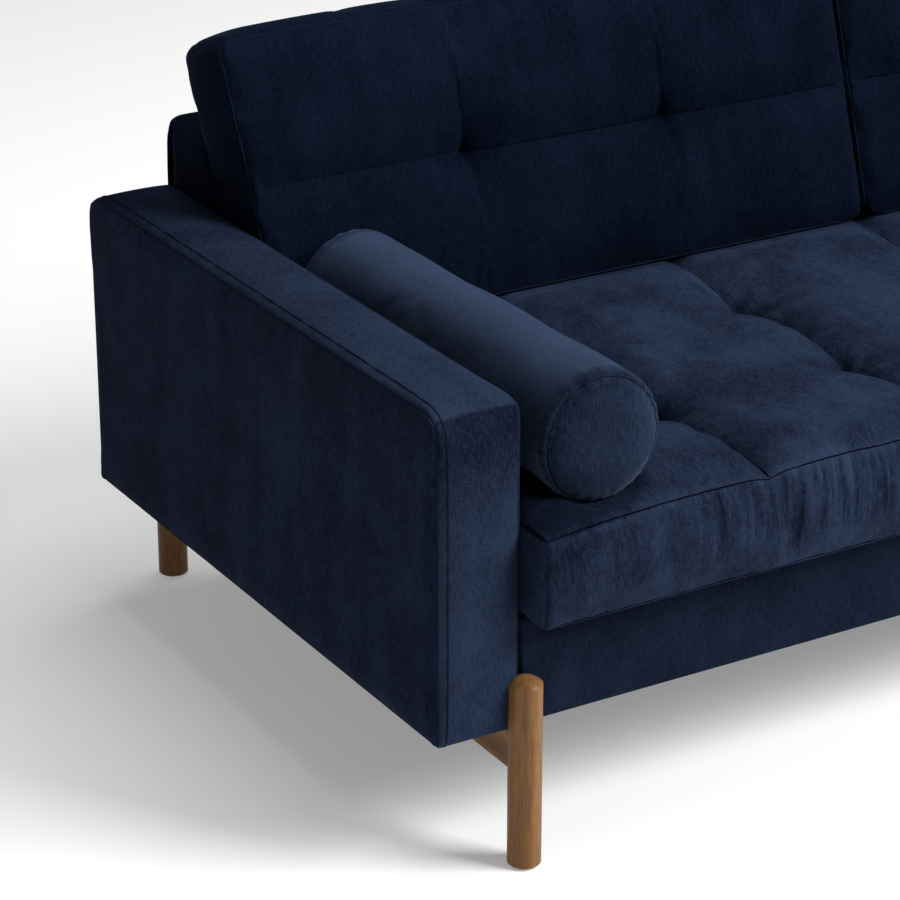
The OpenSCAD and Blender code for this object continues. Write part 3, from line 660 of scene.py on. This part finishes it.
nearLine = (-0.010, -0.0045, -0.0018, 0.0018, 0.0045, 0.010)
backRows = (rows(0, back["width"], 0.0115, edgeRows, back["tufts"], near),
            rows(0, back["height"], 0.0115, edgeRows, (back["middle"],), nearLine),
            rows(0, back["thick"], 0.011, edgeRows[:4]))
raw, faces, weave, ids = blockSkin(*backRows, turned=(0,))
basePoints = backKeep(backPlace(raw))
tuftNear = np.min([np.hypot(raw[:, 0] - c, raw[:, 1] - back["middle"]) for c in back["tufts"]], 0)
onEdge = atLimits(raw, backEnds).sum(1) >= 2
atFoot, atRear = raw[:, 1] < 1e-6, raw[:, 2] > back["thick"] - 1e-6
held = np.where(onEdge | (tuftNear < 0.010) | atFoot | atRear, 1.0, 0.0)
held = np.maximum(held, np.where(np.abs(raw[:, 1] - back["middle"]) < 0.0005, 1.0, 0.0))
# Painted light and shade on the back cushions: lighter towards the outer end and the top, darker in the tuft
# hollows on the front, a little lighter on the outer wall
outerShare = raw[:, 0] / back["width"]
backPaintedLight = 0.20 * outerShare - 0.30 + 0.12 * raw[:, 1] / back["height"]
backPaintedLight = backPaintedLight - 0.40 * np.exp(-tuftNear / 0.024) * (raw[:, 2] < 1e-6)
backPaintedLight = backPaintedLight + 0.06 * (raw[:, 0] > back["width"] - 1e-6)
backPieces = {}
for name, placed, turned, cut in bothSides(basePoints, faces, weave):
    piece = newPiece("backCushion_" + name, placed, turned, cut, "shadedVelvetBack", {"nap": backPaintedLight})
    body = "back_cushion_" + name
    puffLater(piece, held, 0.007, 0.014, backKeep)
    dress(piece, body, [f"{body}_{part}" for part in ("cover", "core", "ties")])
    backPieces[name] = piece
    for label, level in (("Front", 0), ("Rear", -1)):
        tube(f"backSeam{label}_{name}", placed[loopOf(ids, level)], 0.0011, "thread", body)
lineColumns = [int(np.argmin(np.abs(backRows[0] - u)))
               for u in (0.02, back["tufts"][1], back["width"] - 0.035)]
middleRow = int(np.argmin(np.abs(backRows[1] - back["middle"])))
# Cords along the back cushions' sewn middle line: near-black painted shadow in the groove on the front and
# the outer wall, navy thread on the outer stretch of the front
backLines = {"backLine": (ids[lineColumns[0]:lineColumns[1] + 1, middleRow, 0], 0.0009, "shadowThread"),
             "backLineOuter": (ids[lineColumns[1]:lineColumns[2], middleRow, 0], 0.0006, "thread"),
             "backLineSide": (ids[-1, middleRow, 2:-2], 0.0008, "shadowThread")}
print("back cushions made")

# Rings of a bolster, as radius and depth: a sunken end, a seam and a rounded rim, then the straight tube
profile = [(r, -0.0035 + 11.5 * (r - 0.006) ** 3 * 3)
           for r in (0.006, 0.016, 0.027, 0.038, 0.048, 0.057, 0.0645)]
profile += [(0.0700, 0.0062), (bolster["seamAt"], 0.0108), (0.0764, 0.0118), (0.0780, 0.0150),
            (0.0786, 0.0195), (0.0784, 0.0250)]
wallStart = 0.033
spanRows = np.linspace(wallStart, bolster["length"] - wallStart, 46)
stations = ([(r, d, "end") for r, d in profile] + [(bolster["radius"], d, "wall") for d in spanRows]
            + [(r, bolster["length"] - d, "end") for r, d in reversed(profile)])
ringTotal, count = len(stations), bolster["around"]
turn = np.arange(count) * math.tau / count


# The points of the right bolster, gathered along its rims and flattened where it rests
def bolsterPlace():
    full = bolster["radius"]
    draw = np.random.default_rng(41)
    phases = draw.uniform(0, math.tau, 4)
    gather = np.sin(turn * bolster["gathers"] + 2.1 * np.sin(turn * 3 + phases[0]) + phases[1])
    gather = gather * (0.6 + 0.4 * np.sin(turn * 5 + phases[2]))
    points = []
    for radius, d, kind in stations:
        nearEnd = min(d, bolster["length"] - d)
        if kind == "end":
            puckered = 0.0017 * math.exp(-abs(radius - 0.075) / 0.012)
        else:
            puckered = 0.0019 * math.exp(-(nearEnd - 0.015) / 0.017)
        lump = ripples(np.cos(turn) * full + d, np.sin(turn) * full + d * 0.7, 42, 0.21, 0.0013)
        scale = min(1, radius / 0.06)
        r = radius + (gather * puckered + lump) * scale
        sag = -0.0035 * math.exp(-max(d, 0) / 0.03)
        x = bolster["x"] + bolster["slant"] * d / bolster["length"] + np.cos(turn) * r
        z = bolster["z"] + np.sin(turn) * r + sag
        z = np.maximum(z, bolsterRest(d))
        points.append(np.stack([x, np.full(len(x), frontY + bolster["front"] + d), z], 1))
    return np.concatenate(points)


endShift = (0.4, 0.3)  # where the cloth of the ends lies in the weave


def bolsterMesh():
    points = bolsterPlace()
    step = math.tau * bolster["radius"] / count
    faces, cut = [], []
    for i in range(ringTotal - 1):
        for s in range(count):
            t = (s + 1) % count
            faces.append((i * count + s, i * count + t, (i + 1) * count + t, (i + 1) * count + s))
            ends = stations[i][2] == "end" and stations[i + 1][2] == "end"
            corners = []
            for station, column in ((i, s), (i, t), (i + 1, t), (i + 1, s)):
                p = points[station * count + column]
                onTube = (step * (s + (column != s)), stations[station][1])
                corners.append((p[0] + endShift[0], p[2] + endShift[1]) if ends else onTube)
            cut.append(corners)
    ends = np.array([points[:count].mean(0), points[-count:].mean(0)])
    points = np.concatenate([points, ends])
    return points, faces, np.array(cut)


points, faces, weave = bolsterMesh()


def bolsterKeep(p):
    p = p.copy()
    d = p[:, 1] - frontY
    p[:, 2] = np.maximum(p[:, 2], bolsterRest(d))
    p[:, 1] = np.minimum(p[:, 1], frontY + 0.5715)
    return p


seamRing = [r for r, _ in profile].index(bolster["seamAt"])
bolsterHeld = np.zeros(len(points))
for ring in (seamRing, ringTotal - 1 - seamRing):
    bolsterHeld[ring * count:(ring + 1) * count] = 1
bolsterHeld[points[:, 2] < bolsterRest(points[:, 1] - frontY) + 0.0008] = 1
# Painted light and shade on the bolsters: the tube lighter on top and darker on its sides, most on the side
# towards the arm, and the ends darker
tubePaintedLight = 0.46 * np.maximum(np.sin(turn), 0) ** 2 - np.where(np.cos(turn) > 0, 0.5, 0.35) * np.cos(turn) ** 2
endPaintedShade = -0.24
bolsterPaintedLight = np.concatenate([tubePaintedLight if kind == "wall" else np.full(count, endPaintedShade) for _, _, kind in stations]
                            + [[endPaintedShade, endPaintedShade]])
for name, placed, quads, cut in bothSides(points, faces, weave):
    fans, fanWeave = [], []
    for hub, ring in ((len(points) - 2, 0), (len(points) - 1, ringTotal - 1)):
        for s in range(count):
            a, b = ring * count + s, ring * count + (s + 1) % count
            fan = (hub, a, b)
            fans.append(fan)
            fanWeave.append([(placed[v][0] + endShift[0], placed[v][2] + endShift[1]) for v in fan])
    allFaces = [tuple(f) for f in quads] + fans
    flatWeave = np.concatenate([np.asarray(cut).reshape(-1, 2), np.asarray(fanWeave).reshape(-1, 2)])
    piece = newPiece("bolster_" + name, placed, allFaces, flatWeave, "velvetBolster",
                     {"nap": bolsterPaintedLight})
    body = "bolster_" + name
    puffLater(piece, bolsterHeld, 0.003, 0.012, bolsterKeep)
    dress(piece, body, [body + "_cover", body + "_core"])
    # Near-black cords round the bolsters' end seams: painted shadow in the seams
    for label, ring in (("Front", seamRing), ("Rear", ringTotal - 1 - seamRing)):
        line = placed[ring * count:(ring + 1) * count]
        tube(f"bolsterSeam{label}_{name}", line, 0.0010, "shadowThread", body)
print("bolsters made")

arm = {"depth": 0.898, "low": 0.173, "high": 0.583, "thick": 0.113, "edge": 0.008, "step": 0.014,
       "corners": (0.006, 0.010, 0.040, 0.030)}
armEnds = (np.array([0, arm["low"], 0]), np.array([arm["depth"], arm["high"], arm["thick"]]))


def armPlace(raw):
    low, high = armEnds
    p = softBox(raw, armEnds, arm["edge"], 2)
    d, z = roundCorners(p[:, 0], p[:, 1], low[0], high[0], low[1], high[1], arm["corners"])
    w = p[:, 2]
    depthShare, upShare = d / arm["depth"], (z - arm["low"]) / (arm["high"] - arm["low"])
    face = plump(depthShare, 6) * plump(upShare, 6)
    outer = raw[:, 2] > arm["thick"] - 1e-6
    soft = ripples(d, z, 51, 0.30, 0.0009)
    w = w + outer * face * (0.0022 + soft)
    band = plump(w / arm["thick"], 2.4)
    top = raw[:, 1] > arm["high"] - 1e-6
    front = raw[:, 0] < 1e-6
    z = z + top * band * (0.0042 + ripples(d, w, 52, 0.16, 0.0008)) * plump(depthShare, 8)
    d = d - front * band * (0.0034 + ripples(z, w, 53, 0.12, 0.0008)) * plump(upShare, 8)
    return np.stack([inside + w, frontY + d, z], 1)


def armKeep(p):
    p = p.copy()
    p[:, 0] = np.sign(p[:, 0]) * np.clip(np.abs(p[:, 0]), 0.9271, 1.0440)
    p[:, 2] = np.maximum(p[:, 2], arm["low"] - 0.0004)
    return p


armRows = (rows(0, arm["depth"], arm["step"], edgeRows + (0.030, 0.040)),
           rows(arm["low"], arm["high"], arm["step"], edgeRows + (0.030, 0.040)),
           rows(0, arm["thick"], 0.012, edgeRows[:4]))
raw, faces, weave, ids = blockSkin(*armRows, turned=(0, 1))
basePoints = armKeep(armPlace(raw))
met = atLimits(raw, armEnds)
onSeam, atFoot = (met.sum(1) >= 2) & met[:, 2], raw[:, 1] < arm["low"] + 1e-6
armHeld = np.where(onSeam | (raw[:, 2] < 1e-6) | atFoot, 1.0, 0.0)
onTop, onFront = raw[:, 1] > arm["high"] - 1e-6, raw[:, 0] < 1e-6
# Painted light and shade on the arms: the top lighter near the front and darker towards the rear, the other
# walls darker, the front face darker at the top and lighter near the bottom
topPaintedLight = 0.26 * bell(raw[:, 0], 0.20) - 0.36 * np.clip((raw[:, 0] - 0.45) / 0.35, 0, 1)
armPaintedLight = np.where(onTop, topPaintedLight, -0.22)
lowOnFront = np.clip((0.535 - raw[:, 1]) / 0.10, 0, 1)
armPaintedLight = np.where(onFront, 0.64 * lowOnFront - 0.40, armPaintedLight)
armPieces, armStitch = {}, loopOf(ids, -4)
for name, placed, turned, cut in bothSides(basePoints, faces, weave):
    piece = newPiece("arm_" + name, placed, turned, cut, "velvetArm", {"nap": armPaintedLight})
    armPieces[name] = piece
    puffLater(piece, armHeld, 0.0025, 0.004, armKeep)
    dress(piece, "frame", [f"arm_{name}_cover", f"arm_{name}_pad"])
    for label, level in (("Inner", 0), ("Outer", -1)):
        tube(f"armSeam{label}_{name}", placed[loopOf(ids, level)], 0.0012, "thread", "frame")
print("arms made")


# A closed outline through corners, each given as depth, height and the radius of its curve
def roundedOutline(corners, step):
    line = []
    count = len(corners)
    for n, (a, b, radius) in enumerate(corners):
        here = np.array((a, b))
        before, after = (np.array(corners[m % count][:2]) for m in (n - 1, n + 1))
        toBefore = (before - here) / np.linalg.norm(before - here)
        toAfter = (after - here) / np.linalg.norm(after - here)
        for t in (0, 0.5, 1):  # a short curve through the corner
            line.append(here + toBefore * radius * (1 - t) ** 2 + toAfter * radius * t ** 2)
    spread = []
    for n, start in enumerate(line):
        stop = line[(n + 1) % len(line)]
        pieces = max(1, round(float(np.linalg.norm(stop - start)) / step))
        spread += [start + (stop - start) * s / pieces for s in range(pieces)]
    return np.array(spread)


# Cloth over a long board: an outline carried across the sofa, drawn in at both ends
def sweep(name, corners, xs, colour, shape, step=0.012, soft=0.004):
    outline = roundedOutline(corners, step)
    around = len(outline)
    ahead = np.roll(outline, -1, 0) - np.roll(outline, 1, 0)
    inward = np.stack([-ahead[:, 1], ahead[:, 0]], 1) / np.linalg.norm(ahead, axis=1, keepdims=True)
    area = np.sum(outline[:, 0] * np.roll(outline[:, 1], -1) - np.roll(outline[:, 0], -1) * outline[:, 1])
    inward *= np.sign(area)
    rings = []
    for x in xs:
        toEnd = min(x - xs[0], xs[-1] - x)
        inset = soft - math.sqrt(max(0, soft ** 2 - max(0, soft - toEnd) ** 2))
        ring = outline + inward * inset
        rings.append(np.stack([np.full(around, x), frontY + ring[:, 0], ring[:, 1]], 1))
    points = np.concatenate(rings)
    points = shape(points)
    length = np.concatenate([[0], np.cumsum(np.linalg.norm(np.diff(outline, axis=0), axis=1))])
    faces, weave = [], []
    for i in range(len(xs) - 1):
        for s in range(around):
            t = (s + 1) % around
            faces.append((i * around + s, i * around + t, (i + 1) * around + t, (i + 1) * around + s))
            reach = length[s] + 0.012 if t == 0 else length[t]
            weave.append([(xs[i], length[s]), (xs[i], reach), (xs[i + 1], reach), (xs[i + 1], length[s])])
    turned, cut = outward(points, faces, weave)
    wasTurned = tuple(turned[0]) != tuple(faces[0])
    last = (len(xs) - 1) * around
    caps = [list(range(around))[::-1], [last + s for s in range(around)]]
    if wasTurned:
        caps = [c[::-1] for c in caps]
    capWeave = [[tuple(points[v][1:] + 3.3) for v in cap] for cap in caps]
    flat = np.concatenate([np.asarray(cut).reshape(-1, 2)] + [np.array(c).reshape(-1, 2) for c in capWeave])
    return newPiece(name, points, [tuple(f) for f in turned] + caps, flat, colour)


base = {"bottom": 0.173, "deck": 0.3115, "under": 0.2985, "rear": 0.898}


def bandShape(points):
    p = points.copy()
    front = np.clip((frontY + 0.0105 - p[:, 1]) / 0.004, 0, 1)
    upShare = np.clip((p[:, 2] - base["bottom"]) / 0.1387, 0, 1)
    wave = ripples(p[:, 0], p[:, 2], 61, 0.085, 0.0011, 2.6) + ripples(p[:, 0], p[:, 2], 62, 0.3, 0.0014, 2)
    p[:, 1] -= front * plump(upShare, 3) * (0.0026 + wave)
    return p


band = {"face": 0.007, "inside": 0.0158, "lip": 0.057}
bandEdge = [(band["face"], base["bottom"], 0.005), (band["face"], base["deck"], 0.007),
            (band["lip"], base["deck"], 0.004), (band["lip"], base["under"], 0.003),
            (band["inside"], base["under"], 0.002), (band["inside"], base["bottom"], 0.002)]
# The front band wears the darker velvet copy: painted shade under the seat
frontBand = sweep("frontBand", bandEdge, rows(-inWall, inWall, 0.012, (0.003, 0.007)),
                  "shadedVelvetBand", bandShape, soft=0.0025)
dress(frontBand, "frame", ["front_border"])


wrap = {"half": 0.9268, "foot": 0.2984, "bend": 0.430, "front": 0.6903, "crest": 0.768, "top": 0.669,
        "rear": 0.8888}


def wrapShape(points):
    p = points.copy()
    acrossShare = (p[:, 0] + wrap["half"]) / (2 * wrap["half"])
    topness = np.clip((p[:, 2] - 0.64) / 0.025, 0, 1)
    p[:, 2] += topness * 0.002 * plump(acrossShare, 14) + topness * ripples(p[:, 0], p[:, 1], 71, 0.2, 0.0008)
    return p


wrapEdge = [(wrap["front"], wrap["foot"], 0.004), (wrap["front"], wrap["bend"], 0.03),
            (wrap["crest"], wrap["top"], 0.030), (wrap["rear"], wrap["top"], 0.010),
            (wrap["rear"], wrap["foot"], 0.003)]
backWrap = sweep("backWrap", wrapEdge, rows(-wrap["half"], wrap["half"], 0.016, edgeRows),
                 "shadedVelvetBack", wrapShape, 0.014, 0.024)
dress(backWrap, "frame", ["back_front_cover", "back_pad"])


panel = {"half": 0.924, "top": 0.6665, "front": 0.8892, "corner": 0.026}


def panelShape(points):
    p = points.copy()
    p[:, 0], p[:, 2] = roundCorners(p[:, 0], p[:, 2], -panel["half"], panel["half"], base["bottom"],
                                    panel["top"], (0, 0, panel["corner"], panel["corner"]))
    rear = np.clip((p[:, 1] - frontY - 0.894) / 0.003, 0, 1)
    face = plump((p[:, 0] + panel["half"]) / (2 * panel["half"]), 10)
    face = face * plump((p[:, 2] - base["bottom"]) / 0.496, 6)
    p[:, 1] += rear * face * (0.0016 + ripples(p[:, 0], p[:, 2], 81, 0.3, 0.0010))
    return p


panelEdge = [(panel["front"], base["bottom"], 0.002), (panel["front"], panel["top"], 0.002),
             (base["rear"], panel["top"], 0.005), (base["rear"], base["bottom"], 0.004)]
backPanel = sweep("backPanel", panelEdge, rows(-panel["half"], panel["half"], 0.016, edgeRows),
                  "shadedVelvetBack", panelShape, 0.014, 0.003)
dress(backPanel, "frame", ["back_rear_cover"])

deckPiece = {"front": 0.0574, "rear": 0.6898, "low": 0.2982, "high": 0.3114}
deckRows = (rows(-inWall, inWall, 0.02, edgeRows[:3]),
            rows(deckPiece["front"], deckPiece["rear"], 0.02, edgeRows[:3]),
            rows(deckPiece["low"], deckPiece["high"], 0.005))
raw, faces, weave, ids = blockSkin(*deckRows)
p = softBox(raw, (np.array([-inWall, deckPiece["front"], deckPiece["low"]]),
                  np.array([inWall, deckPiece["rear"], deckPiece["high"]])), 0.003)
p[:, 2] -= (raw[:, 2] > deckPiece["high"] - 1e-6) * np.abs(ripples(p[:, 0], p[:, 1], 91, 0.12, 0.0006))
p[:, 1] += frontY
faces, weave = outward(p, faces, weave)
deck = newPiece("seatDeck", p, faces, weave, "deck")
dress(deck, "frame", ["deck_pad"])

# The dust cover: thin cloth, stapled flat under the frame and sagging a little between the rails
lining = {"half": 0.9256, "front": 0.0162, "rear": 0.8888, "under": 0.1737, "thick": 0.0007, "sag": 0.0005}
liningRows = (rows(-lining["half"], lining["half"], 0.022), rows(lining["front"], lining["rear"], 0.022),
              np.array([0, lining["thick"]]))
raw, faces, weave, ids = blockSkin(*liningRows)
sagging = plump((raw[:, 0] + lining["half"]) / (2 * lining["half"]), 8) * plump(raw[:, 1] / lining["rear"], 8)
sagging = sagging * (lining["sag"] + ripples(raw[:, 0], raw[:, 1], 95, 0.22, 0.0002))
p = raw + (0, frontY, lining["under"])
p[:, 2] -= sagging
liningPiece = newPiece("dustCover", p, faces, weave, "lining")
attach(liningPiece, "frame")
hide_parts("dust_cover")
print("base and back made")

puffAll()
for piece in [item["piece"] for item in waiting] + [frontBand, backWrap, backPanel]:
    smooth = piece.modifiers.new("smooth", "SUBSURF")
    smooth.levels = smooth.render_levels = 1


# A line of points of a finished piece, lifted by a hair
def lineOn(piece, ids, lift):
    return [piece.data.vertices[int(i)].co + Vector(lift) for i in ids]


# Near-black cords along the bottoms of the seat creases: painted shadow
for n, crease in enumerate(seatCreases):
    tube(f"seatCrease_{n + 1}", lineOn(seatPiece, crease, (0, 0, 0.0006)), 0.0009, "shadowThread",
         "seat_cushion", False)
for name, piece in armPieces.items():
    stitch = lineOn(piece, armStitch, (0, -0.0002, 0.0002))
    tube("armTopstitch_" + name, stitch, 0.0006, "thread", "frame")
for name, piece in backPieces.items():
    for label, (line, radius, colour) in backLines.items():
        tube(f"{label}_{name}", lineOn(piece, line, (0, -0.0004, 0.0001)), radius, colour,
             "back_cushion_" + name, False)
print("soft pieces finished")

nodeFinish = [("leg_glides", others["glide"]), ("leg_dowel", others["steel"]), ("leg_", woods["legs"]),
              ("stretcher_dowels", woods["frame"]), ("stretcher_screws", others["steel"]),
              ("stretcher_", woods["rails"]), ("panels", others["hardboard"]), ("springs", others["steel"]),
              ("clips", others["steel"]), ("bolts", others["steel"]), ("webbing", others["webbing"]),
              ("dust_cover", cloths["lining"]), ("ties", others["whiteThread"]), ("core", others["foam"]),
              ("pad", others["foam"]), ("border", cloths["velvet"]), ("cover", cloths["velvet"])]
for name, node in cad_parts.items():
    material = next((m for part, m in nodeFinish if part in name), woods["frame"])
    node.data.materials.clear()
    node.data.materials.append(material)
print("CAD parts finished")

studio = {"key": ((2.7, -3.9, 4.3), 2.8, 560), "top": ((0.1, 0.1, 5.2), 3.2, 130)}
aim = Vector((-0.3, 0, 0.4))
daylight = 0.16
for name, (place, size, power) in studio.items():
    lamp = bpy.data.lights.new(name, "AREA")
    lamp.size, lamp.energy = size, power
    holder = bpy.data.objects.new(name, lamp)
    holder.location = place
    holder.rotation_euler = (aim - Vector(place)).to_track_quat("-Z", "Y").to_euler()
    scene.collection.objects.link(holder)
world = bpy.data.worlds.new("studioLight")
world.use_nodes = True
world.node_tree.nodes["Background"].inputs[0].default_value = (1, 1, 1, 1)
world.node_tree.nodes["Background"].inputs[1].default_value = daylight
scene.world = world
scene.view_settings.view_transform = "Standard"

floorFinish = Finish("paleFloor")
floorFinish.set({"Base Color": (0.76, 0.76, 0.76, 1), "Roughness": 0.9, "Specular IOR Level": 0.1,
                 "Emission Color": (1, 1, 1, 1), "Emission Strength": 0.27})
bpy.ops.mesh.primitive_plane_add(size=60, location=(0, 0, -0.0005))
floor = bpy.context.object
floor.name = "floor"
floor.data.materials.append(floorFinish.material)
print("studio made")
